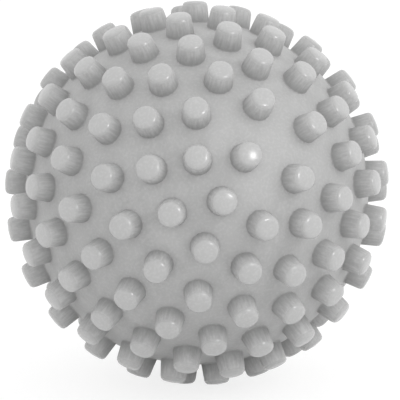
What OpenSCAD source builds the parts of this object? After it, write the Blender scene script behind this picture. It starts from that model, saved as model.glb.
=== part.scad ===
// Soft hollow sensory ball with blunt stubs in rings, standing on three stub tips.
// Millimetres, +Z up, the floor at z = 0 and the ball's centre above the origin.
// The stubs lie in rings about one axis through both poles. The front pole faces the viewer.

/* [Ball] */
// Diameter of the smooth ball under the stubs
ball_d = 71; // [66:0.5:84]
// Thickness of the soft wall
wall_t = 2.5; // [2:0.1:3.5]

/* [Stubs] */
// Height of a stub over the ball
stub_h = 4.5; // [3.5:0.1:5.5]
// Diameter of a stub where it meets the ball
stub_base_d = 5.8; // [5.4:0.1:6.4]
// Diameter of a stub just under its rounded rim
stub_tip_d = 5.2; // [4.6:0.1:5.4]
// Radius of the rounded rim of a stub
stub_rim_r = 1; // [0.4:0.1:1.2]
// How deep the root of a stub is moulded into the wall
stub_root = 1; // [0.6:0.1:1.4]
// Angle from the pole to the first ring of stubs, in degrees
first_ring = 12.6; // [12.2:0.1:14]

/* [Seam] */
// Height of the lip that laps the front half into the back half
lip_h = 2; // [1.4:0.1:2.4]
// Share of the wall that the lip takes
lip_share = 0.48; // [0.42:0.01:0.54]
// Room for the bond between the lip and the back half
bond_gap = 0.05; // [0.02:0.01:0.1]
// Side of the fine V groove that the seam leaves outside
seam_groove = 0.3; // [0.1:0.05:0.5]

/* [Air valve] */
// Diameter of the hole that takes the valve sleeve
valve_hole_d = 7.2; // [6.8:0.1:7.6]
// Diameter of the moulded boss inside the wall
boss_d = 14; // [13:0.5:16]
// Height of the boss over the inner face of the wall
boss_h = 3.5; // [3:0.1:4.5]
// Diameter of the sleeve's inner flange
flange_d = 11; // [10:0.2:12]
// Thickness of the sleeve's inner flange
flange_t = 1.2; // [0.8:0.1:1.6]
// How far the sleeve's outer end lies under the ball's round surface
sleeve_sink = 0.3; // [0.2:0.05:0.5]
// Diameter of the air hole in the sleeve
air_hole_d = 4; // [3:0.1:4.4]
// Diameter of the seat for the plug's head
seat_d = 6; // [5.4:0.1:6]
// Depth of the seat for the plug's head
seat_depth = 1; // [0.8:0.1:1.4]
// Radial room between the plug's pin and the air hole
plug_gap = 0.05; // [0.02:0.01:0.1]
// Diameter of the plug's head
plug_head_d = 5.4; // [4.8:0.1:5.4]
// Thickness of the plug's head
plug_head_t = 0.9; // [0.6:0.1:1.2]
// Length of the plug's pin under its head
plug_pin_l = 6; // [4.5:0.1:6.4]
// Size of the slanted nose on the pin
plug_nose = 0.5; // [0.3:0.1:0.8]
// Diameter of the scoop that lets a fingernail under the head
nail_scoop_d = 1.8; // [1.2:0.1:2.2]

/* [Stance] */
// Turn of the back half against the front half, in degrees
back_turn = 198; // [0:0.1:360]
// Compass heading of the front pole, in degrees from +X
heading = -61.1; // [-180:0.1:180]

/* [Hidden] */
$fn = 48;
eps = 0.01 * wall_t;
ball_r = ball_d / 2;
inner_r = ball_r - wall_t;
stub_base_r = stub_base_d / 2;
stub_tip_r = stub_tip_d / 2;
// Height of a stub's side up to its rounded rim
stub_side_h = stub_h - stub_rim_r;
// How far the side leans out for each unit of height
flare = (stub_base_r - stub_tip_r) / stub_side_h;
// Stubs in each ring of a half, from the pole to the seam
ring_counts = [4, 11, 16, 19, 22, 24];
// Where the first stub of each ring stands, in degrees round the pole
ring_starts = [23, 26.5, 8, 15.5, 12, 0.5];
// The rings are evenly spaced, and the seam lies midway between two of them
ring_step = (90 - first_ring) / (len(ring_counts) - 0.5);
lip_outer_r = inner_r + wall_t * lip_share;
// How far the lip reaches back into the wall that carries it
lip_root = lip_h / 10;
valve_hole_r = valve_hole_d / 2;
boss_face = inner_r - boss_h;
sleeve_end = ball_r - sleeve_sink;
seat_floor = sleeve_end - seat_depth;
air_hole_r = air_hole_d / 2;
pin_r = air_hole_r - plug_gap;

// Direction from the centre at an angle from the pole and a turn round it
function way(from_pole, turn) = [sin(from_pole) * cos(turn), sin(from_pole) * sin(turn), cos(from_pole)];

// Angle from the pole to a ring, with ring 1 next to the pole
function ring_angle(ring) = first_ring + (ring - 1) * ring_step;

// Turn of a stub round its pole, with stubs counted from 0
function stub_turn(ring, stub) = ring_starts[ring - 1] + 360 * stub / ring_counts[ring - 1];

// Direction of a stub of the back half, which is the same moulding turned over
function back_way(ring, stub) = way(180 - ring_angle(ring), back_turn - stub_turn(ring, stub));

// The ball stands on two stubs of the back half's fifth ring and one of its fourth
feet = [back_way(5, 16), back_way(5, 17), back_way(4, 14)];
feet_cross = cross(feet[1] - feet[0], feet[2] - feet[0]);
feet_flat = feet_cross / norm(feet_cross);
down = feet_flat * feet[0] > 0 ? feet_flat : -feet_flat;
down_turn = atan2(down[1], down[0]);
pole_tilt = acos(-down[2]);
foot_lean = acos(down * feet[0]);
// Height of the centre when the rounded rims of the three stubs touch the floor
stand_h = (ball_r + stub_h - stub_rim_r) * cos(foot_lean) + (stub_tip_r - stub_rim_r) * sin(foot_lean) + stub_rim_r;

// From the frame of the poles to the standing ball
module standing() {
    translate([0, 0, stand_h])
        rotate([0, 0, heading])
            rotate([0, pole_tilt, 0])
                rotate([0, 0, -down_turn])
                    children();
}

// The back half and its valve are drawn with their pole up, then turned over
module turned_over() {
    standing()
        rotate([180, 0, back_turn])
            children();
}

// Half of the cross-section of one blunt stub, with the ball's surface at y = 0
module stub_section() {
    polygon([
        [0, -stub_root],
        [stub_base_r + flare * stub_root, -stub_root],
        [stub_tip_r, stub_side_h],
        [0, stub_side_h]
    ]);
    square([stub_tip_r - stub_rim_r, stub_h]);
    intersection() {
        translate([stub_tip_r - stub_rim_r, stub_side_h])
            circle(r = stub_rim_r);
        square([stub_tip_r, stub_h]);
    }
}

module stub() {
    rotate_extrude()
        stub_section();
}

module ring_of_stubs(ring) {
    for (stub = [0 : ring_counts[ring - 1] - 1])
        rotate([0, ring_angle(ring), stub_turn(ring, stub)])
            translate([0, 0, ball_r])
                stub();
}

module rings_of_stubs() {
    for (ring = [1 : len(ring_counts)])
        ring_of_stubs(ring);
}

// Wall of one half from the seam to the pole
module wall_section() {
    difference() {
        intersection() {
            circle(r = ball_r);
            square([ball_r, ball_r]);
        }
        circle(r = inner_r);
        translate([ball_r, 0])
            rotate(45)
                square(seam_groove, center = true);
    }
}

// Half shell with its lip, which reaches past the seam into the back half
module front_half() {
    color([0.63, 0.63, 0.62])
        standing() {
            rotate_extrude()
                wall_section();
            rotate_extrude()
                translate([inner_r, -lip_h])
                    square([lip_outer_r - inner_r, lip_h + lip_root]);
            rings_of_stubs();
        }
}

// Half shell with the recess for the lip and the boss for the valve
module back_half() {
    color([0.61, 0.61, 0.6])
        turned_over()
            difference() {
                union() {
                    rotate_extrude()
                        wall_section();
                    translate([0, 0, boss_face])
                        cylinder(h = boss_h + wall_t / 2, d = boss_d);
                    rings_of_stubs();
                }
                translate([0, 0, -eps])
                    cylinder(h = lip_h + bond_gap + eps, r = lip_outer_r + bond_gap);
                translate([0, 0, boss_face - eps])
                    cylinder(h = ball_r - boss_face + wall_t, r = valve_hole_r);
            }
}

// Soft sleeve bonded into the boss from inside, with a seat for the plug's head
module valve_sleeve() {
    color([0.55, 0.55, 0.54])
        turned_over()
            difference() {
                union() {
                    translate([0, 0, boss_face - flange_t])
                        cylinder(h = flange_t, d = flange_d);
                    translate([0, 0, boss_face - flange_t])
                        cylinder(h = sleeve_end - boss_face + flange_t, r = valve_hole_r - bond_gap);
                }
                translate([0, 0, boss_face - flange_t - eps])
                    cylinder(h = sleeve_end - boss_face + flange_t, r = air_hole_r);
                translate([0, 0, seat_floor])
                    cylinder(h = seat_depth + eps, d = seat_d);
                translate([valve_hole_r - bond_gap, 0, seat_floor])
                    cylinder(h = seat_depth + eps, d = nail_scoop_d);
            }
}

// Push-in air plug with a flat head and a slanted nose
module valve_plug() {
    color([0.9, 0.9, 0.88])
        turned_over() {
            translate([0, 0, seat_floor])
                cylinder(h = plug_head_t, d = plug_head_d);
            translate([0, 0, seat_floor - plug_pin_l + plug_nose])
                cylinder(h = plug_pin_l - plug_nose + plug_head_t / 2, r = pin_r);
            translate([0, 0, seat_floor - plug_pin_l])
                cylinder(h = plug_nose, r1 = pin_r - plug_nose, r2 = pin_r);
        }
}

front_half();
back_half();
valve_sleeve();
valve_plug();
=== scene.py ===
import math
import random

import bmesh
import bpy
from bpy.props import FloatProperty, FloatVectorProperty, IntProperty, PointerProperty
from bpy.types import Operator, Panel, PropertyGroup
from mathutils import Matrix, Vector


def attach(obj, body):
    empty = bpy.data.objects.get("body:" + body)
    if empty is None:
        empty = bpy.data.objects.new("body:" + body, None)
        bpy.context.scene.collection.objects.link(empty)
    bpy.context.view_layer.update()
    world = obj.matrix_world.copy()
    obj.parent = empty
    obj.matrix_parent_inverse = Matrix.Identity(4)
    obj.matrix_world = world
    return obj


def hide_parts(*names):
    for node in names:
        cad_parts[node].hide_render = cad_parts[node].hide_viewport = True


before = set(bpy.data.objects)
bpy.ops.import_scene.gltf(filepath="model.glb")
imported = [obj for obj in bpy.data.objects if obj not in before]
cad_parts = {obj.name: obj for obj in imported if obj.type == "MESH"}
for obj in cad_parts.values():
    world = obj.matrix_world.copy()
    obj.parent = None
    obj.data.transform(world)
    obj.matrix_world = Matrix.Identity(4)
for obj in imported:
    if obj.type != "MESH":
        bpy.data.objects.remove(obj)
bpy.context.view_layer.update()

bl_info = {
    "name": "Soft sensory ball",
    "version": (1, 0, 0),
    "blender": (4, 5, 0),
    "location": "View3D > Sidebar > Sensory ball",
    "description": "Dresses a hollow rubber ball with rings of blunt stubs and a push-in air plug",
    "category": "Object",
}

# Stubs in each ring of a half, from the pole to the seam, and the angle at which each ring starts
RING_COUNTS = (4, 11, 16, 19, 22, 24)
RING_STARTS = (23, 26.5, 8, 15.5, 12, 0.5)
# The ball stands on these stubs of the back half, each given as its ring and its place in it
FEET = ((5, 16), (5, 17), (4, 14))

# Steps of the meshes, along the arcs and round the axes
OUTER_WALL_STEPS = 44
INNER_WALL_STEPS = 22
WALL_SEGMENTS = 144
STUB_RIM_STEPS = 3
STUB_SEGMENTS = 16
EDGE_STEPS = 2
HEAD_EDGE_STEPS = 4
VALVE_SEGMENTS = 64
SCOOP_SEGMENTS = 32
# Points that lie closer than this, in metres, are merged into one
MERGE_DISTANCE = 1e-6
# Edges sharper than this, in degrees, aren't shaded smooth
SHARP_ANGLE = 35
# A higher power keeps the slope of a stub closer to its top
SLOPE_POWER = 4

# The camera's sensor, in millimetres, and the nearest thing that it sees, in metres
SENSOR_WIDTH = 36
NEAREST_SEEN = 0.01
# From the middle of the floor to its edge, in metres
FLOOR_REACH = 4
WHITE = (1, 1, 1, 1)


class BallShape(PropertyGroup):
    """Sizes of the two moulded halves and how the ball stands."""

    core: FloatProperty(
        name="Core", description="Diameter of the smooth ball under the stubs",
        default=0.071, unit="LENGTH")
    wall: FloatProperty(
        name="Wall", description="Thickness of the soft wall", default=0.0025, unit="LENGTH")
    stub_height: FloatProperty(
        name="Stub height", description="Height of a stub over the ball", default=0.0045, unit="LENGTH")
    stub_base: FloatProperty(
        name="Stub base", description="Diameter of a stub where it meets the ball",
        default=0.0058, unit="LENGTH")
    stub_tip: FloatProperty(
        name="Stub tip", description="Diameter of a stub under its rounded rim",
        default=0.0052, unit="LENGTH")
    stub_rim: FloatProperty(
        name="Stub rim", description="Radius of the rounded rim of a stub",
        default=0.001, unit="LENGTH")
    stub_root: FloatProperty(
        name="Stub root", description="How deep a stub reaches into the wall",
        default=0.001, unit="LENGTH")
    first_ring: FloatProperty(
        name="First ring", description="Angle from the pole to the first ring of stubs",
        default=math.radians(12.6), subtype="ANGLE")
    lip: FloatProperty(
        name="Lip", description="Height of the lip that laps one half into the other",
        default=0.002, unit="LENGTH")
    lip_share: FloatProperty(
        name="Lip share", description="Share of the wall that the lip takes",
        default=0.48, subtype="FACTOR")
    bond_gap: FloatProperty(
        name="Bond gap", description="Room for the film of the bond",
        default=0.00005, unit="LENGTH", precision=6)
    seam_groove: FloatProperty(
        name="Seam groove", description="Depth of the fine groove along the seam",
        default=0.00004, unit="LENGTH", precision=5)
    back_turn: FloatProperty(
        name="Back turn", description="Turn of the back half against the front half",
        default=math.radians(198), subtype="ANGLE")
    heading: FloatProperty(
        name="Heading", description="Compass heading of the front pole from +X",
        default=math.radians(-61.1), subtype="ANGLE")
    unevenness: FloatProperty(
        name="Unevenness", description="Greatest slope of a stub's top", default=0.03, subtype="FACTOR")
    lean: FloatProperty(
        name="Lean", description="Greatest lean of a stub, as a share of its height",
        default=0.045, subtype="FACTOR")
    dome: FloatProperty(
        name="Dome", description="How far the rim of a stub's top lies under its middle",
        default=0.00015, unit="LENGTH", precision=5)
    sink: FloatProperty(
        name="Sink", description="Greatest share that a stub is lower than its mould",
        default=0.02, subtype="FACTOR")
    unevenness_seed: IntProperty(
        name="Unevenness seed", description="Choice of the small differences between the stubs",
        default=7)


class AirValve(PropertyGroup):
    """Sizes of the boss, the sleeve and the plug at the back pole."""

    hole: FloatProperty(
        name="Valve hole", description="Diameter of the hole that takes the sleeve",
        default=0.0072, unit="LENGTH")
    boss: FloatProperty(
        name="Boss", description="Diameter of the boss inside the wall", default=0.014, unit="LENGTH")
    boss_height: FloatProperty(
        name="Boss height", description="Height of the boss over the inner face",
        default=0.0035, unit="LENGTH")
    flange: FloatProperty(
        name="Flange", description="Diameter of the sleeve's inner flange",
        default=0.011, unit="LENGTH")
    flange_thickness: FloatProperty(
        name="Flange thickness", description="Thickness of the inner flange",
        default=0.0012, unit="LENGTH")
    sleeve_sink: FloatProperty(
        name="Sleeve sink", description="How far the sleeve ends under the round surface",
        default=0.0003, unit="LENGTH", precision=5)
    air_hole: FloatProperty(
        name="Air hole", description="Diameter of the air hole", default=0.004, unit="LENGTH")
    seat: FloatProperty(
        name="Seat", description="Diameter of the seat for the plug's head",
        default=0.006, unit="LENGTH")
    seat_depth: FloatProperty(
        name="Seat depth", description="Depth of the seat", default=0.001, unit="LENGTH")
    nail_scoop: FloatProperty(
        name="Nail scoop", description="Diameter of the scoop for a fingernail",
        default=0.0018, unit="LENGTH")
    scoop_rise: FloatProperty(
        name="Scoop rise", description="How far the scoop's floor lies over the seat's, for a clean cut",
        default=0.00001, unit="LENGTH", precision=6)
    plug_gap: FloatProperty(
        name="Plug gap", description="Room between the pin and the air hole",
        default=0.00005, unit="LENGTH", precision=6)
    head: FloatProperty(
        name="Plug head", description="Diameter of the plug's head", default=0.0054, unit="LENGTH")
    head_thickness: FloatProperty(
        name="Head thickness", description="Thickness of the plug's head",
        default=0.0009, unit="LENGTH")
    pin: FloatProperty(
        name="Pin", description="Length of the pin under the head", default=0.006, unit="LENGTH")
    nose: FloatProperty(
        name="Nose", description="Size of the slanted nose on the pin",
        default=0.0005, unit="LENGTH", precision=5)
    edge: FloatProperty(
        name="Edge", description="Radius of the small moulded edges",
        default=0.00015, unit="LENGTH", precision=5)
    dish: FloatProperty(
        name="Dish", description="Width of the dish in the plug's head, as a share of the head",
        default=0.72, subtype="FACTOR")
    dish_floor: FloatProperty(
        name="Dish floor", description="Width of the dish's floor, as a share of the head",
        default=0.6, subtype="FACTOR")
    dish_depth: FloatProperty(
        name="Dish depth", description="Depth of the dish at its middle",
        default=0.00021, unit="LENGTH", precision=5)


class BallLook(PropertyGroup):
    """Colours and surfaces of the rubber, the sleeve and the plug."""

    rubber: FloatVectorProperty(
        name="Rubber", description="Colour of the grey rubber",
        default=(0.422, 0.422, 0.42), size=3, subtype="COLOR", min=0, max=1)
    # Colour of the paler stub tips: partly rubbed wear, partly painted light, as the tips catch more
    # light than the skin between the stubs
    tip_wear_and_painted_light: FloatVectorProperty(
        name="Rubbed tips", description="Colour of the rubbed stub tips",
        default=(0.452, 0.452, 0.45), size=3, subtype="COLOR", min=0, max=1)
    sleeve: FloatVectorProperty(
        name="Sleeve", description="Colour of the valve sleeve",
        default=(0.34, 0.34, 0.34), size=3, subtype="COLOR", min=0, max=1)
    plug: FloatVectorProperty(
        name="Plug", description="Colour of the air plug",
        default=(0.66, 0.66, 0.65), size=3, subtype="COLOR", min=0, max=1)
    mottling: FloatProperty(
        name="Mottling", description="Strength of the soft mottling", default=0.08, subtype="FACTOR")
    # Strength of the dark mould streaks and of the pale streaks, which are partly painted highlights on
    # the stubs' sides
    streaks: FloatProperty(
        name="Streaks", description="Strength of the mould streaks along the stubs",
        default=0.11, subtype="FACTOR")
    grain: FloatProperty(
        name="Grain", description="Width of the fine grain of the skin",
        default=0.0005, unit="LENGTH", precision=5)
    # Strength of the painted light that makes the stubs' sides paler
    painted_side_light: FloatProperty(
        name="Bloom", description="Strength of the pale bloom on the stubs' sides",
        default=0.07, subtype="FACTOR")
    # Strength of the painted shade at the stubs' roots, where they meet the skin
    painted_root_shade: FloatProperty(
        name="Root shade", description="How much darker the skin is at the stubs' roots",
        default=0.34, subtype="FACTOR")
    gloss: FloatProperty(
        name="Gloss", description="Specular level of the rubber", default=0.8, subtype="FACTOR")
    roughness: FloatProperty(
        name="Roughness", description="Roughness of the rubber", default=0.56, subtype="FACTOR")
    tip_polish: FloatProperty(
        name="Tip polish", description="How much smoother the rubbed stub tips are",
        default=0.34, subtype="FACTOR")
    rib_depth: FloatProperty(
        name="Rib depth", description="Depth of the fine ribs along the stubs' sides",
        default=0.00012, unit="LENGTH", precision=5)
    pore_depth: FloatProperty(
        name="Pore depth", description="Depth of the fine grain of the rubber",
        default=0.00004, unit="LENGTH", precision=5)
    sleeve_gloss: FloatProperty(
        name="Sleeve gloss", description="Specular level of the sleeve", default=0.35, subtype="FACTOR")
    sleeve_pore_depth: FloatProperty(
        name="Sleeve pore depth", description="Depth of the blasted grain of the sleeve",
        default=0.00003, unit="LENGTH", precision=5)
    plug_gloss: FloatProperty(
        name="Plug gloss", description="Specular level of the plug", default=0.5, subtype="FACTOR")
    plug_roughness: FloatProperty(
        name="Plug roughness", description="Roughness of the plug where it is least scuffed",
        default=0.32, subtype="FACTOR")
    scuff_depth: FloatProperty(
        name="Scuff depth", description="Depth of the scuffs on the plug",
        default=0.00002, unit="LENGTH", precision=5)


class StudioSetup(PropertyGroup):
    """Camera, lamps, room and floor."""

    rise: FloatProperty(
        name="Camera rise", description="Angle of the camera over the ball's centre",
        default=math.radians(11.31), subtype="ANGLE")
    distance: FloatProperty(
        name="Camera distance", description="From the camera to the ball's centre",
        default=0.426, unit="LENGTH")
    lens: FloatProperty(
        name="Lens", description="Focal length on a 36 mm sensor", default=184.25, unit="CAMERA")
    shift_x: FloatProperty(
        name="Shift X", description="Sideways shift of the frame", default=0.007)
    shift_y: FloatProperty(
        name="Shift Y", description="Upward shift of the frame", default=-0.0168)
    lamp_distance: FloatProperty(
        name="Lamp distance", description="From a lamp to the ball's centre",
        default=0.6, unit="LENGTH")
    soft_turn: FloatProperty(
        name="Soft lamp turn", description="Compass direction of the soft lamp from the camera's side",
        default=math.radians(68), subtype="ANGLE")
    soft_rise: FloatProperty(
        name="Soft lamp rise", description="Angle of the soft lamp over the floor",
        default=math.radians(36), subtype="ANGLE")
    soft_size: FloatProperty(
        name="Soft lamp size", description="Width of the soft lamp", default=0.28, unit="LENGTH")
    soft_power: FloatProperty(
        name="Soft lamp power", description="Power of the soft lamp", default=0.65, unit="POWER")
    glint_turn: FloatProperty(
        name="Glint turn", description="Compass direction of the lamp that lights the glints",
        default=math.radians(37), subtype="ANGLE")
    glint_rise: FloatProperty(
        name="Glint rise", description="Angle over the floor of the lamp that lights the glints",
        default=math.radians(24), subtype="ANGLE")
    glint_size: FloatProperty(
        name="Glint size", description="Width of the lamp that lights the glints",
        default=0.13, unit="LENGTH")
    glint_power: FloatProperty(
        name="Glint power", description="Power of the lamp that lights the glints",
        default=0.75, unit="POWER")
    room: FloatProperty(
        name="Room light", description="Strength of the even light of the room", default=1.07)
    paper_glow: FloatProperty(
        name="Paper glow", description="Brightness added to the floor where it is seen", default=0.81)
    paper_shade: FloatProperty(
        name="Paper shade", description="Depth of the shadows on the floor where it is seen",
        default=0.24)
    paper_white: FloatProperty(
        name="Paper white", description="How much light the floor throws back on the ball",
        default=0.85, subtype="FACTOR")


def way(from_pole, turn):
    """Direction from the centre at an angle from the pole and a turn round it, in degrees."""
    tilt, heading = math.radians(from_pole), math.radians(turn)
    level = math.sin(tilt)
    return Vector((level * math.cos(heading), level * math.sin(heading), math.cos(tilt)))


def ring_angle(shape, ring):
    """Angle from the pole to a ring, in degrees. The seam lies midway between two rings."""
    first = math.degrees(shape.first_ring)
    steps_to_seam = len(RING_COUNTS) - 0.5
    return first + (ring - 1) * (90 - first) / steps_to_seam


def stub_turn(ring, stub):
    """Turn of a stub round its pole, in degrees."""
    return RING_STARTS[ring - 1] + 360 * stub / RING_COUNTS[ring - 1]


def back_way(shape, ring, stub):
    """Direction of a stub of the back half, which is the same moulding turned over."""
    return way(180 - ring_angle(shape, ring), math.degrees(shape.back_turn) - stub_turn(ring, stub))


def standing(shape):
    """Matrix from the frame of the poles to the ball that stands on its three feet."""
    feet = [back_way(shape, *foot) for foot in FEET]
    down = (feet[1] - feet[0]).cross(feet[2] - feet[0]).normalized()
    if down.dot(feet[0]) < 0:
        down.negate()
    lean = math.acos(down.dot(feet[0]))
    reach = shape.core / 2 + shape.stub_height - shape.stub_rim
    flat = shape.stub_tip / 2 - shape.stub_rim
    height = reach * math.cos(lean) + flat * math.sin(lean) + shape.stub_rim
    return (
        Matrix.Translation((0, 0, height))
        @ Matrix.Rotation(shape.heading, 4, "Z")
        @ Matrix.Rotation(math.acos(-down.z), 4, "Y")
        @ Matrix.Rotation(-math.atan2(down.y, down.x), 4, "Z")
    )


def turned_over(shape):
    """Matrix from a half drawn with its pole up to the back half in its place."""
    return standing(shape) @ Matrix.Rotation(shape.back_turn, 4, "Z") @ Matrix.Rotation(math.pi, 4, "X")


def arc(radius, start, end, steps, centre=(0, 0)):
    """Points of an arc in the half-plane of radius and height, with angles in degrees from the radius."""
    angles = [math.radians(start + (end - start) * step / steps) for step in range(steps + 1)]
    return [
        (centre[0] + radius * math.cos(angle), centre[1] + radius * math.sin(angle)) for angle in angles]


def revolved(profile, segments, closed=False):
    """A closed surface: a profile of (radius, height) points, spun once round the Z axis."""
    bm = bmesh.new()
    verts = [bm.verts.new((max(radius, 0), 0, height)) for radius, height in profile]
    pairs = list(zip(verts, verts[1:]))
    if closed:
        pairs.append((verts[-1], verts[0]))
    edges = [bm.edges.new(pair) for pair in pairs]
    bmesh.ops.spin(
        bm, geom=verts + edges, cent=(0, 0, 0), axis=(0, 0, 1), angle=math.tau, steps=segments,
        use_merge=True)
    bmesh.ops.remove_doubles(bm, verts=bm.verts, dist=MERGE_DISTANCE)
    bmesh.ops.recalc_face_normals(bm, faces=bm.faces)
    return bm


def new_object(name, bm):
    """Turns a bmesh into an object of the scene."""
    mesh = bpy.data.meshes.new(name)
    bm.to_mesh(mesh)
    bm.free()
    obj = bpy.data.objects.new(name, mesh)
    bpy.context.scene.collection.objects.link(obj)
    return obj


def combine(obj, other, operation):
    """Adds another closed mesh to the object's own, or cuts it away, so that one skin is left."""
    boolean = obj.modifiers.new("boolean", "BOOLEAN")
    boolean.operation = operation
    boolean.solver = "EXACT"
    boolean.object = other
    whole = bpy.data.meshes.new_from_object(obj.evaluated_get(bpy.context.evaluated_depsgraph_get()))
    obj.modifiers.clear()
    obj.data = whole
    bpy.data.objects.remove(other)


def finish_mesh(obj, place):
    """Puts the mesh in its place and shades it smooth, apart from its sharp edges."""
    obj.data.transform(place)
    bm = bmesh.new()
    bm.from_mesh(obj.data)
    for face in bm.faces:
        face.smooth = True
    for edge in bm.edges:
        edge.smooth = edge.calc_face_angle(0) < math.radians(SHARP_ANGLE)
    bm.to_mesh(obj.data)
    bm.free()


def dress(obj, material, body, solid):
    """Gives a piece its material and its body, and hides the solid that it stands for."""
    obj.data.materials.clear()
    obj.data.materials.append(material)
    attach(obj, body)
    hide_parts(solid)


def front_wall_profile(shape):
    """Closed cross-section of the front half, with the lip that laps into the back half."""
    outer = shape.core / 2
    inner = outer - shape.wall
    lip_outer = inner + shape.wall * shape.lip_share
    seam_angle = math.degrees(shape.seam_groove / outer)
    return (
        arc(outer, 90, seam_angle, OUTER_WALL_STEPS)
        + [(outer - shape.seam_groove, 0), (lip_outer, 0), (lip_outer, -shape.lip), (inner, -shape.lip)]
        + arc(inner, 0, 90, INNER_WALL_STEPS)
    )


def back_wall_profile(shape, valve):
    """Closed cross-section of the back half, with the recess for the lip and the boss with its hole."""
    outer = shape.core / 2
    inner = outer - shape.wall
    seam_angle = math.degrees(shape.seam_groove / outer)
    recess = inner + shape.wall * shape.lip_share + shape.bond_gap
    recess_top = shape.lip + shape.bond_gap
    hole, boss, boss_face = valve.hole / 2, valve.boss / 2, inner - valve.boss_height
    hole_angle = math.degrees(math.acos(hole / outer))
    boss_angle = math.degrees(math.acos(boss / inner))
    recess_angle = math.degrees(math.asin(recess_top / inner))
    return (
        arc(outer, hole_angle, seam_angle, OUTER_WALL_STEPS)
        + [(outer - shape.seam_groove, 0), (recess, 0), (recess, recess_top)]
        + arc(inner, recess_angle, boss_angle, INNER_WALL_STEPS)
        + [(boss, boss_face), (hole, boss_face)]
    )


def seat_floor(shape, valve):
    """Height over the ball's centre of the floor on which the plug's head is seated."""
    return shape.core / 2 - valve.sleeve_sink - valve.seat_depth


def one_stub(shape):
    """A blunt tapered stub with a rounded rim, standing up from the top of the ball."""
    outer = shape.core / 2
    base, tip, rim = shape.stub_base / 2, shape.stub_tip / 2, shape.stub_rim
    side = shape.stub_height - rim
    root = base + (base - tip) / side * shape.stub_root
    return revolved(
        [(0, outer - shape.stub_root), (root, outer - shape.stub_root)]
        + arc(rim, 0, 90, STUB_RIM_STEPS, (tip - rim, outer + side - shape.dome))
        + [(0, outer + shape.stub_height)],
        STUB_SEGMENTS,
    )


def random_tilt(chance, most):
    """A sideways tilt of up to the greatest share, along X and along Y."""
    return Vector((chance.uniform(-1, 1), chance.uniform(-1, 1), 0)) * most


def rings_of_stubs(shape, seed):
    """The stub copied round every ring of a half, each a little lower, leaning and aslant on top."""
    bm = one_stub(shape)
    mould = bm.verts[:]
    pattern = mould + bm.edges[:] + bm.faces[:]
    outer, tip = shape.core / 2, shape.stub_tip / 2
    chance = random.Random(seed)
    for ring, count in enumerate(RING_COUNTS, 1):
        for stub in range(count):
            copy = bmesh.ops.duplicate(bm, geom=pattern)["geom"]
            verts = [part for part in copy if isinstance(part, bmesh.types.BMVert)]
            slope = random_tilt(chance, shape.unevenness)
            lean = random_tilt(chance, shape.lean)
            sink = chance.uniform(0, shape.sink)
            for vert in verts:
                height = max(vert.co.z - outer, 0)
                drop = slope.length * tip - slope.dot(vert.co)
                vert.co += lean * height
                vert.co.z -= (height / shape.stub_height) ** SLOPE_POWER * drop + height * sink
            place = Matrix.Rotation(math.radians(stub_turn(ring, stub)), 4, "Z")
            place = place @ Matrix.Rotation(math.radians(ring_angle(shape, ring)), 4, "Y")
            bmesh.ops.transform(bm, matrix=place, verts=verts)
    bmesh.ops.delete(bm, geom=mould, context="VERTS")
    return bm


def half_shell(name, profile, shape, seed, place):
    """One half of the ball: its wall with all its stubs, in one skin."""
    shell = new_object(name, revolved(profile, WALL_SEGMENTS, closed=True))
    combine(shell, new_object(name + "_stubs", rings_of_stubs(shape, seed)), "UNION")
    finish_mesh(shell, place)
    return shell


def node(tree, kind, values=None, **settings):
    """Adds a shader node, sets its sockets by name or number and its settings."""
    new = tree.nodes.new("ShaderNode" + kind)
    for name, value in settings.items():
        setattr(new, name, value)
    for socket, value in (values or {}).items():
        new.inputs[socket].default_value = value
    return new


def link(tree, source, target):
    """Joins an output of one node to an input of another."""
    tree.links.new(source, target)


def new_skin(name, gloss):
    """A new material, its node tree and its surface shader with a specular level."""
    material = bpy.data.materials.new(name)
    material.use_nodes = True
    skin = material.node_tree.nodes["Principled BSDF"]
    skin.inputs["Specular IOR Level"].default_value = gloss
    return material, material.node_tree, skin


def band(tree, source, low, high, reverse=False):
    """A soft step of a value from 0 to 1 between two levels, or from 1 to 0."""
    step = node(tree, "MapRange", {
        "From Min": low, "From Max": high, "To Min": float(reverse), "To Max": float(not reverse)},
        interpolation_type="SMOOTHSTEP")
    link(tree, source, step.inputs["Value"])
    return step.outputs["Result"]


def spread(tree, source, low, high, levels=(0, 1)):
    """A value that runs evenly from low to high while the source runs between two levels."""
    even = node(tree, "MapRange", {
        "From Min": levels[0], "From Max": levels[1], "To Min": low, "To Max": high})
    link(tree, source, even.inputs["Value"])
    return even.outputs["Result"]


def product(tree, first, second):
    """The product of two values, either of which may be a plain number."""
    times = node(tree, "Math", operation="MULTIPLY")
    for value, socket in ((first, times.inputs[0]), (second, times.inputs[1])):
        if isinstance(value, (int, float)):
            socket.default_value = value
        else:
            link(tree, value, socket)
    return times.outputs["Value"]


def difference(tree, first, second):
    """The first value less the second."""
    less = node(tree, "Math", operation="SUBTRACT")
    link(tree, first, less.inputs[0])
    link(tree, second, less.inputs[1])
    return less.outputs["Value"]


def noise(tree, vector, scale, detail, roughness):
    """Smooth noise with a number of features to the metre."""
    texture = node(tree, "TexNoise", {"Scale": scale, "Detail": detail, "Roughness": roughness})
    link(tree, vector, texture.inputs["Vector"])
    return texture.outputs["Fac"]


def blend(tree, share, first, second):
    """Mixes two colours, each a socket or a plain colour, by a share."""
    mix = node(tree, "Mix", data_type="RGBA")
    link(tree, share, mix.inputs["Factor"])
    for value, socket in ((first, mix.inputs[6]), (second, mix.inputs[7])):
        if isinstance(value, bpy.types.NodeSocket):
            link(tree, value, socket)
        else:
            socket.default_value = (*value, 1)
    return mix.outputs[2]


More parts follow.
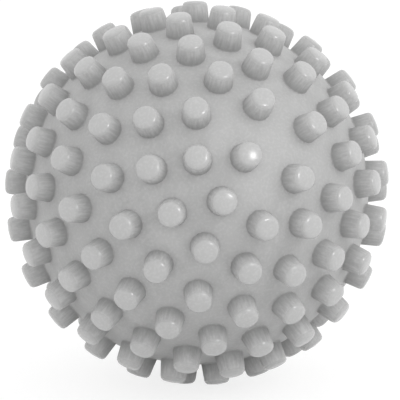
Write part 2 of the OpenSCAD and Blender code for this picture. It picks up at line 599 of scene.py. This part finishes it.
def bump(tree, height, strength, depth, under=None):
    """Raises the skin where a value is high, on top of another bump if there is one."""
    raised = node(tree, "Bump", {"Strength": strength, "Distance": depth})
    link(tree, height, raised.inputs["Height"])
    if under:
        link(tree, under, raised.inputs["Normal"])
    return raised.outputs["Normal"]


def from_centre(tree, centre):
    """Place on the object measured from the ball's centre."""
    coords = node(tree, "TexCoord")
    centred = node(tree, "Mapping", {"Location": -centre})
    link(tree, coords.outputs["Object"], centred.inputs["Vector"])
    return centred.outputs["Vector"]


# Zones of the rubber's skin, in shares of a stub's height: from and to where a zone fades in, and from
# and to where it fades out again, unless it reaches the top
# The root zone carries the painted shade at the stubs' roots
ROOT_ZONE = ((0.01, 0.06), (0.1, 0.75))
SIDE_ZONE = ((0.05, 0.2), (0.7, 0.9))
# The tip zone carries the paler tip colour, partly painted light
TIP_ZONE = ((0.78, 1),)
POLISHED_ZONE = ((0.7, 0.85),)
# Noises of the rubber: features to the metre, detail and roughness
MOTTLE = (240, 4, 0.6)
CLOUD = (60, 2, 0.5)
STREAK = (85, 3, 0.55)
GRAIN_DETAIL = 2
GRAIN_ROUGHNESS = 0.5
# Levels of a noise between which its marks fade in. The pale streaks, partly mould streaks and partly
# painted highlights, lie where it is low
MOTTLE_FADE = (0.3, 0.7)
CLOUD_FADE = (0.35, 0.65)
GRAIN_FADE = (0.42, 0.7)
DARK_STREAK_FADE = (0.48, 0.7)
PALE_STREAK_AND_PAINTED_HIGHLIGHT_FADE = (0.54, 0.36)
# Colours that are mixed into the rubber's own for its marks, for the painted light and painted highlights
# on the stubs' sides, and for the painted shade at their roots
PALE_MARK_AND_PAINTED_LIGHT = (0.9, 0.9, 0.9)
DARK_MARK = (0.1, 0.1, 0.1)
PAINTED_ROOT_SHADE = (0.12, 0.12, 0.12)
# How much smoother and rougher the rubber is at these two levels of its mottling
SMOOTHER, ROUGHER = 0.04, 0.06
POLISH_LEVELS = (0.25, 0.75)
# How strongly the ribs and the grain bend the light
RIB_STRENGTH = 0.5
PORE_STRENGTH = 0.2


def zone(tree, reach, shape, fade_in, fade_out=None):
    """1 where a place lies in a zone of the stubs' height, 0 elsewhere, and a soft step between."""
    def height(share):
        return shape.core / 2 + share * shape.stub_height

    inside = band(tree, reach, height(fade_in[0]), height(fade_in[1]))
    if fade_out is None:
        return inside
    return product(
        tree, inside, band(tree, reach, height(fade_out[0]), height(fade_out[1]), reverse=True))


def soft_rubber(look, shape, centre):
    """Grey satin rubber with mottling, grain, streaks that are partly painted highlights, painted light
    on the stubs' sides, painted shade at their roots, and tips paler from rubbing and from painted light.
    """
    material, tree, skin = new_skin("soft_grey_rubber", look.gloss)
    place = from_centre(tree, centre)
    outward = node(tree, "VectorMath", operation="NORMALIZE")
    link(tree, place, outward.inputs[0])
    distance = node(tree, "VectorMath", operation="LENGTH")
    link(tree, place, distance.inputs[0])
    reach = distance.outputs["Value"]
    root = zone(tree, reach, shape, *ROOT_ZONE)
    side = zone(tree, reach, shape, *SIDE_ZONE)
    tip = zone(tree, reach, shape, *TIP_ZONE)
    polished = zone(tree, reach, shape, *POLISHED_ZONE)

    mottle = noise(tree, place, *MOTTLE)
    cloud = noise(tree, place, *CLOUD)
    streak = noise(tree, outward.outputs["Vector"], *STREAK)
    grain = noise(tree, place, 1 / look.grain, GRAIN_DETAIL, GRAIN_ROUGHNESS)

    pale = [min(1, part * (1 + look.mottling)) for part in look.rubber]
    dull = [part * (1 - look.mottling) for part in look.rubber]
    colour = blend(tree, band(tree, mottle, *MOTTLE_FADE), dull, pale)
    colour = blend(tree, band(tree, cloud, *CLOUD_FADE), colour, look.rubber)
    # Paler tips: partly rubbed wear, partly painted light
    colour = blend(tree, tip, colour, look.tip_wear_and_painted_light)
    marks = (
        (band(tree, grain, *GRAIN_FADE), look.mottling, PALE_MARK_AND_PAINTED_LIGHT),
        # Painted light: paler stub sides
        (side, look.painted_side_light, PALE_MARK_AND_PAINTED_LIGHT),
        (product(tree, side, band(tree, streak, *DARK_STREAK_FADE)), look.streaks, DARK_MARK),
        # Pale streaks: partly mould streaks, partly painted highlights
        (product(tree, side, band(tree, streak, *PALE_STREAK_AND_PAINTED_HIGHLIGHT_FADE)), look.streaks, PALE_MARK_AND_PAINTED_LIGHT),
        # Painted shade at the stubs' roots
        (root, look.painted_root_shade, PAINTED_ROOT_SHADE),
    )
    for mask, strength, mark in marks:
        colour = blend(tree, product(tree, mask, strength), colour, mark)
    link(tree, colour, skin.inputs["Base Color"])

    uneven = spread(
        tree, mottle, look.roughness - SMOOTHER, look.roughness + ROUGHER, POLISH_LEVELS)
    smoothed = difference(tree, uneven, product(tree, polished, look.tip_polish))
    link(tree, smoothed, skin.inputs["Roughness"])

    ribs = bump(tree, product(tree, side, streak), RIB_STRENGTH, look.rib_depth)
    link(tree, bump(tree, grain, PORE_STRENGTH, look.pore_depth, ribs), skin.inputs["Normal"])
    return material


# The sleeve's skin: its noises, the shade of its blotches as a share of its colour, how much rougher it
# gets, and how strongly its pores bend the light
BLOTCH = (700, 4, 0.6)
BLOTCH_FADE = (0.3, 0.7)
BLOTCH_SHADE = 0.88
BLOTCH_ROUGHER = 0.2
SLEEVE_PORE = (5000, 2, 0.5)
SLEEVE_PORE_STRENGTH = 0.3


def sleeve_rubber(look, centre):
    """Darker, harder rubber of the sleeve, with a fine blasted grain."""
    material, tree, skin = new_skin("dark_valve_rubber", look.sleeve_gloss)
    place = from_centre(tree, centre)
    blotch = noise(tree, place, *BLOTCH)
    darker = [part * BLOTCH_SHADE for part in look.sleeve]
    colour = blend(tree, band(tree, blotch, *BLOTCH_FADE), darker, look.sleeve)
    link(tree, colour, skin.inputs["Base Color"])
    uneven = spread(tree, blotch, look.roughness, look.roughness + BLOTCH_ROUGHER)
    link(tree, uneven, skin.inputs["Roughness"])
    pores = noise(tree, place, *SLEEVE_PORE)
    link(tree, bump(tree, pores, SLEEVE_PORE_STRENGTH, look.sleeve_pore_depth), skin.inputs["Normal"])
    return material


# The plug's skin: its flow marks and scuffs, the shade of each as a share of its colour, how much rougher
# the scuffs are, and how strongly they bend the light
FLOW = {"Scale": 260, "Distortion": 9, "Detail": 2, "Detail Scale": 1.4}
FLOW_FADE = (0.1, 0.9)
FLOW_SHADE = 0.94
SCUFF = (1600, 3, 0.7)
SCUFF_FADE = (0.6, 0.75)
SCUFF_SHADE = 0.82
SCUFF_ROUGHER = 0.18
SCUFF_STRENGTH = 0.25


def plug_plastic(look, centre):
    """Pale moulded plastic of the plug, with faint flow marks and handling scuffs."""
    material, tree, skin = new_skin("pale_plug_plastic", look.plug_gloss)
    place = from_centre(tree, centre)
    flow = node(tree, "TexWave", FLOW)
    link(tree, place, flow.inputs["Vector"])
    scuff = noise(tree, place, *SCUFF)
    flow_mark = [part * FLOW_SHADE for part in look.plug]
    scuff_mark = [part * SCUFF_SHADE for part in look.plug]
    colour = blend(tree, band(tree, flow.outputs["Fac"], *FLOW_FADE), flow_mark, look.plug)
    colour = blend(tree, band(tree, scuff, *SCUFF_FADE), colour, scuff_mark)
    link(tree, colour, skin.inputs["Base Color"])
    uneven = spread(tree, scuff, look.plug_roughness, look.plug_roughness + SCUFF_ROUGHER)
    link(tree, uneven, skin.inputs["Roughness"])
    link(tree, bump(tree, scuff, SCUFF_STRENGTH, look.scuff_depth), skin.inputs["Normal"])
    return material


def seen_directly(tree):
    """1 for rays that show a surface to the camera, in gloss or through glass, and 0 for its light."""
    path = node(tree, "LightPath")
    seen = path.outputs["Is Camera Ray"]
    for name in ("Is Glossy Ray", "Is Transmission Ray"):
        either = node(tree, "Math", operation="MAXIMUM")
        link(tree, seen, either.inputs[0])
        link(tree, path.outputs[name], either.inputs[1])
        seen = either.outputs["Value"]
    return seen


# Fibres of the paper: noise, and how far they are from its brightness, as they are and where it is seen
FIBRE = (900, 3, 0.5)
FIBRE_CONTRAST = 0.02
SEEN_FIBRE_SHARE = 0.03


def fibrous(tree, fibre, brightness, contrast):
    """A grey that is a little darker or paler with the fibres of the paper."""
    return blend(tree, fibre, [brightness - contrast] * 3, [brightness + contrast] * 3)


def white_paper(studio):
    """White floor that keeps shadows and glows where it is seen, so that it meets the white room."""
    material = bpy.data.materials.new("white_paper")
    material.use_nodes = True
    tree = material.node_tree
    tree.nodes.remove(tree.nodes["Principled BSDF"])
    fibre = noise(tree, node(tree, "TexCoord").outputs["Object"], *FIBRE)
    sheet = node(tree, "BsdfDiffuse")
    link(tree, fibrous(tree, fibre, studio.paper_white, FIBRE_CONTRAST), sheet.inputs["Color"])
    faint = node(tree, "BsdfDiffuse")
    faint_contrast = studio.paper_shade * SEEN_FIBRE_SHARE
    link(tree, fibrous(tree, fibre, studio.paper_shade, faint_contrast), faint.inputs["Color"])
    glow = node(tree, "Emission", {"Strength": studio.paper_glow})
    bright = node(tree, "AddShader")
    link(tree, faint.outputs["BSDF"], bright.inputs[0])
    link(tree, glow.outputs["Emission"], bright.inputs[1])
    chosen = node(tree, "MixShader")
    link(tree, seen_directly(tree), chosen.inputs["Fac"])
    link(tree, sheet.outputs["BSDF"], chosen.inputs[1])
    link(tree, bright.outputs["Shader"], chosen.inputs[2])
    link(tree, chosen.outputs["Shader"], tree.nodes["Material Output"].inputs["Surface"])
    return material


def white_room(studio):
    """Even room light, with a white surrounding where it is seen."""
    world = bpy.data.worlds.new("white_room")
    world.use_nodes = True
    tree = world.node_tree
    light = tree.nodes["Background"]
    light.inputs["Color"].default_value = WHITE
    light.inputs["Strength"].default_value = studio.room
    white = node(tree, "Background", {"Color": WHITE, "Strength": 1})
    chosen = node(tree, "MixShader")
    link(tree, seen_directly(tree), chosen.inputs["Fac"])
    link(tree, light.outputs["Background"], chosen.inputs[1])
    link(tree, white.outputs["Background"], chosen.inputs[2])
    link(tree, chosen.outputs["Shader"], tree.nodes["World Output"].inputs["Surface"])
    return world


def toward(turn, rise):
    """Direction from the ball by its compass turn from the camera's side and its rise over the floor."""
    level = math.cos(rise)
    return Vector((level * math.sin(turn), -level * math.cos(turn), math.sin(rise)))


def square_lamp(name, size, power, target, offset):
    """Adds a square lamp that shines on the target from an offset."""
    data = bpy.data.lights.new(name, "AREA")
    data.size = size
    data.energy = power
    lamp = bpy.data.objects.new(name, data)
    bpy.context.scene.collection.objects.link(lamp)
    lamp.location = target + offset
    lamp.rotation_euler = offset.to_track_quat("Z", "Y").to_euler()
    return lamp


class BALL_OT_camera(Operator):
    """Adds the camera at the reference view"""

    bl_idname = "sensory_ball.camera"
    bl_label = "Camera"

    def execute(self, context):
        studio = context.scene.ball_studio
        centre = standing(context.scene.ball_shape).translation
        data = bpy.data.cameras.new("reference_camera")
        data.sensor_width = SENSOR_WIDTH
        data.lens = studio.lens
        data.shift_x = studio.shift_x
        data.shift_y = studio.shift_y
        data.clip_start = NEAREST_SEEN
        camera = bpy.data.objects.new("reference_camera", data)
        context.scene.collection.objects.link(camera)
        back = Vector((0, -math.cos(studio.rise), math.sin(studio.rise)))
        camera.location = centre + back * studio.distance
        camera.rotation_euler = (-back).to_track_quat("-Z", "Y").to_euler()
        context.scene.camera = camera
        return {"FINISHED"}


class BALL_OT_stage(Operator):
    """Adds the white floor, the white room and the two lamps"""

    bl_idname = "sensory_ball.stage"
    bl_label = "Stage"

    def execute(self, context):
        scene = context.scene
        studio = scene.ball_studio
        scene.view_settings.view_transform = "Standard"
        scene.world = white_room(studio)

        bm = bmesh.new()
        bmesh.ops.create_grid(bm, x_segments=1, y_segments=1, size=FLOOR_REACH)
        floor = new_object("floor", bm)
        floor.data.materials.append(white_paper(studio))

        centre = standing(scene.ball_shape).translation
        soft = square_lamp(
            "soft_lamp", studio.soft_size, studio.soft_power, centre,
            toward(studio.soft_turn, studio.soft_rise) * studio.lamp_distance)
        soft.visible_glossy = False
        glint = square_lamp(
            "glint_lamp", studio.glint_size, studio.glint_power, centre,
            toward(studio.glint_turn, studio.glint_rise) * studio.lamp_distance)
        glint.visible_diffuse = False
        return {"FINISHED"}


class BALL_OT_half_shells(Operator):
    """Adds the two half shells with their stubs, the back one with the boss for the valve"""

    bl_idname = "sensory_ball.half_shells"
    bl_label = "Half shells"

    def execute(self, context):
        shape, valve, look = context.scene.ball_shape, context.scene.air_valve, context.scene.ball_look
        rubber = soft_rubber(look, shape, standing(shape).translation)
        seed = shape.unevenness_seed
        front = half_shell("front_shell", front_wall_profile(shape), shape, seed, standing(shape))
        dress(front, rubber, "ball", "front_half")
        back = half_shell(
            "back_shell", back_wall_profile(shape, valve), shape, seed + 1, turned_over(shape))
        dress(back, rubber, "ball", "back_half")
        return {"FINISHED"}


class BALL_OT_valve_sleeve(Operator):
    """Adds the flanged sleeve with the air hole, the plug's seat and the nail scoop"""

    bl_idname = "sensory_ball.valve_sleeve"
    bl_label = "Valve sleeve"

    def execute(self, context):
        shape, valve, look = context.scene.ball_shape, context.scene.air_valve, context.scene.ball_look
        edge = valve.edge
        boss_face = shape.core / 2 - shape.wall - valve.boss_height
        bottom = boss_face - valve.flange_thickness
        end = shape.core / 2 - valve.sleeve_sink
        floor = seat_floor(shape, valve)
        air, seat, flange = valve.air_hole / 2, valve.seat / 2, valve.flange / 2
        tube = valve.hole / 2 - shape.bond_gap
        profile = (
            [(air + edge, bottom)]
            + arc(edge, -90, 0, EDGE_STEPS, (flange - edge, bottom + edge))
            + arc(edge, 0, 90, EDGE_STEPS, (flange - edge, boss_face - edge))
            + [(tube, boss_face)]
            + arc(edge, 0, 90, EDGE_STEPS, (tube - edge, end - edge))
            + [(seat + edge / 2, end), (seat, end - edge / 2), (seat, floor), (air + edge, floor)]
            + [(air, floor - edge), (air, bottom + edge)]
        )
        sleeve = new_object("rubber_valve_sleeve", revolved(profile, VALVE_SEGMENTS, closed=True))
        scoop = bmesh.new()
        scoop_floor = floor + valve.scoop_rise
        scoop_height = 2 * valve.seat_depth
        bmesh.ops.create_cone(
            scoop, cap_ends=True, segments=SCOOP_SEGMENTS, radius1=valve.nail_scoop / 2,
            radius2=valve.nail_scoop / 2, depth=scoop_height,
            matrix=Matrix.Translation((tube, 0, scoop_floor + scoop_height / 2)))
        combine(sleeve, new_object("nail_scoop", scoop), "DIFFERENCE")
        finish_mesh(sleeve, turned_over(shape))
        rubber = sleeve_rubber(look, standing(shape).translation)
        dress(sleeve, rubber, "ball", "valve_sleeve")
        return {"FINISHED"}


class BALL_OT_air_plug(Operator):
    """Adds the push-in plug with its dished head and slanted nose"""

    bl_idname = "sensory_ball.air_plug"
    bl_label = "Air plug"

    def execute(self, context):
        shape, valve, look = context.scene.ball_shape, context.scene.air_valve, context.scene.ball_look
        edge = valve.edge
        floor = seat_floor(shape, valve)
        top = floor + valve.head_thickness
        head, pin = valve.head / 2, valve.air_hole / 2 - valve.plug_gap
        end = floor - valve.pin
        profile = (
            [(0, end), (pin - valve.nose - edge, end), (pin - valve.nose, end + edge / 2)]
            + [(pin, end + valve.nose), (pin, floor)]
            + arc(edge, -90, 0, EDGE_STEPS, (head - edge, floor + edge))
            + arc(2 * edge, 0, 90, HEAD_EDGE_STEPS, (head - 2 * edge, top - 2 * edge))
            + [(head * valve.dish, top), (head * valve.dish_floor, top - edge)]
            + [(0, top - valve.dish_depth)]
        )
        plug = new_object("moulded_air_plug", revolved(profile, VALVE_SEGMENTS))
        finish_mesh(plug, turned_over(shape))
        plastic = plug_plastic(look, standing(shape).translation)
        dress(plug, plastic, "plug", "valve_plug")
        return {"FINISHED"}


class BALL_PT_pieces(Panel):
    """Lists the pieces and their settings in the sidebar"""

    bl_idname = "BALL_PT_pieces"
    bl_label = "Sensory ball"
    bl_space_type = "VIEW_3D"
    bl_region_type = "UI"
    bl_category = "Sensory ball"

    def draw(self, context):
        column = self.layout.column(align=True)
        for operator in OPERATORS:
            column.operator(operator.bl_idname)
        for name, group in SETTINGS.items():
            box = self.layout.box()
            for setting in group.__annotations__:
                box.prop(getattr(context.scene, name), setting)


OPERATORS = (BALL_OT_camera, BALL_OT_half_shells, BALL_OT_valve_sleeve, BALL_OT_air_plug, BALL_OT_stage)
SETTINGS = {
    "ball_shape": BallShape,
    "air_valve": AirValve,
    "ball_look": BallLook,
    "ball_studio": StudioSetup,
}


def register():
    """Registers the settings, the operators and the panel."""
    for group in SETTINGS.values():
        bpy.utils.register_class(group)
    for operator in OPERATORS:
        bpy.utils.register_class(operator)
    bpy.utils.register_class(BALL_PT_pieces)
    for name, group in SETTINGS.items():
        setattr(bpy.types.Scene, name, PointerProperty(type=group))


def unregister():
    """Takes the panel, the operators and the settings out again."""
    for name in SETTINGS:
        delattr(bpy.types.Scene, name)
    bpy.utils.unregister_class(BALL_PT_pieces)
    for operator in reversed(OPERATORS):
        bpy.utils.unregister_class(operator)
    for group in reversed(list(SETTINGS.values())):
        bpy.utils.unregister_class(group)


def main():
    """Adds the camera, the pieces and the stage."""
    register()
    bpy.ops.sensory_ball.camera()
    bpy.ops.sensory_ball.half_shells()
    bpy.ops.sensory_ball.valve_sleeve()
    bpy.ops.sensory_ball.air_plug()
    bpy.ops.sensory_ball.stage()


if __name__ == "__main__":
    main()
